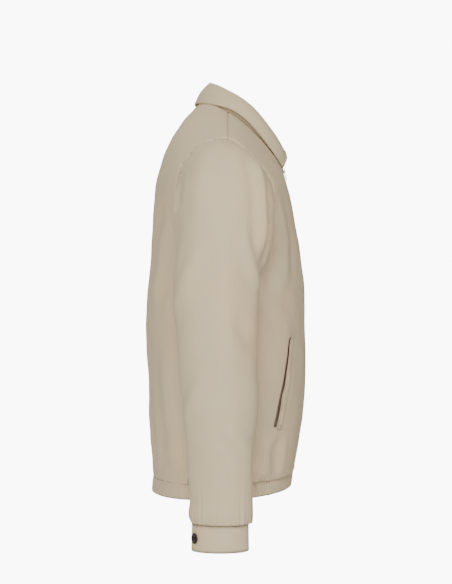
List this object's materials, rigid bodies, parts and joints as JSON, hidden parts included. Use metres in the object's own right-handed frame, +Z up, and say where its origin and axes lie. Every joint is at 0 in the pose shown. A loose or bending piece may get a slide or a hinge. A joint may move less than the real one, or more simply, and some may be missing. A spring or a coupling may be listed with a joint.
{
  "type": "zip-front blouson jacket",
  "caption": "Plain cloth blouson jacket with a turn-down collar, front zip, slanted welt pockets, snap cuffs and a hem elasticated at the sides.",
  "frame": {"origin": "centre-back neck seam, where the wearer or a hanger carries the jacket", "axes": "+Z up, +Y towards the wearer's back, -X towards the wearer's right"},
  "size_m": [0.672, 0.2677, 0.7482],
  "materials": {
    "shell": "matt woven cotton mix",
    "facing": "matt woven cotton mix",
    "lining": "smooth lining cloth",
    "elastic": "knitted elastic",
    "tape": "woven zip tape",
    "zip_metal": "dark gunmetal plating",
    "snap_metal": "dark gunmetal plating"
  },
  "bodies": {
    "jacket_body": {"back_panel": "shell", "collar_stand": "shell", "top_collar": "shell", "under_collar": "shell", "hem_band_back": "shell", "back_neck_facing": "facing", "body_lining": "lining", "hanger_loop": "facing", "zip_box": "zip_metal", "zip_pin": "zip_metal", "front_panel_right": "shell", "front_panel_left": "shell", "front_facing_right": "facing", "front_facing_left": "facing", "pocket_welt_right": "shell", "pocket_welt_left": "shell", "pocket_bag_right": "lining", "pocket_bag_left": "lining", "hem_tab_right": "shell", "hem_tab_left": "shell", "hem_casing_right": "shell", "hem_casing_left": "shell", "hem_elastic_right": "elastic", "hem_elastic_left": "elastic", "zip_tape_right": "tape", "zip_tape_left": "tape", "zip_teeth_right": "zip_metal", "zip_teeth_left": "zip_metal", "zip_stop_right": "zip_metal", "zip_stop_left": "zip_metal"},
    "slider": {"zip_slider": "zip_metal"},
    "pull": {"zip_pull": "zip_metal"},
    "sleeve_right": {"top_sleeve_right": "shell", "under_sleeve_right": "shell", "sleeve_lining_right": "lining", "cuff_band_right": "shell", "snap_stud_right": "snap_metal"},
    "tab_right": {"cuff_tab_right": "shell", "snap_cap_right": "snap_metal"},
    "sleeve_left": {"top_sleeve_left": "shell", "under_sleeve_left": "shell", "sleeve_lining_left": "lining", "cuff_band_left": "shell", "snap_stud_left": "snap_metal"},
    "tab_left": {"cuff_tab_left": "shell", "snap_cap_left": "snap_metal"}
  },
  "joints": [
    {"name": "zip_travel", "type": "hinge", "parent": "jacket_body", "child": "slider", "pos_m": [0, 1.00914, -0.41526], "axis": [1, 0, 0], "range_deg": [0, 25]},
    {"name": "pull_swing", "type": "hinge", "parent": "slider", "child": "pull", "pos_m": [0, -0.13943, -0.12025], "axis": [-1, 0, 0], "range_deg": [0, 150]},
    {"name": "sleeve_swing_right", "type": "hinge", "parent": "jacket_body", "child": "sleeve_right", "pos_m": [-0.212, -0.038, -0.186], "axis": [-1, 0, 0], "range_deg": [-25, 60]},
    {"name": "cuff_tab_right", "type": "hinge", "parent": "sleeve_right", "child": "tab_right", "pos_m": [-0.30537, -0.00415, -0.699], "axis": [0, 0, 1], "range_deg": [0, 100]},
    {"name": "sleeve_swing_left", "type": "hinge", "parent": "jacket_body", "child": "sleeve_left", "pos_m": [0.212, -0.038, -0.186], "axis": [-1, 0, 0], "range_deg": [-25, 60]},
    {"name": "cuff_tab_left", "type": "hinge", "parent": "sleeve_left", "child": "tab_left", "pos_m": [0.30537, -0.00415, -0.699], "axis": [0, 0, -1], "range_deg": [0, 100]}
  ]
}
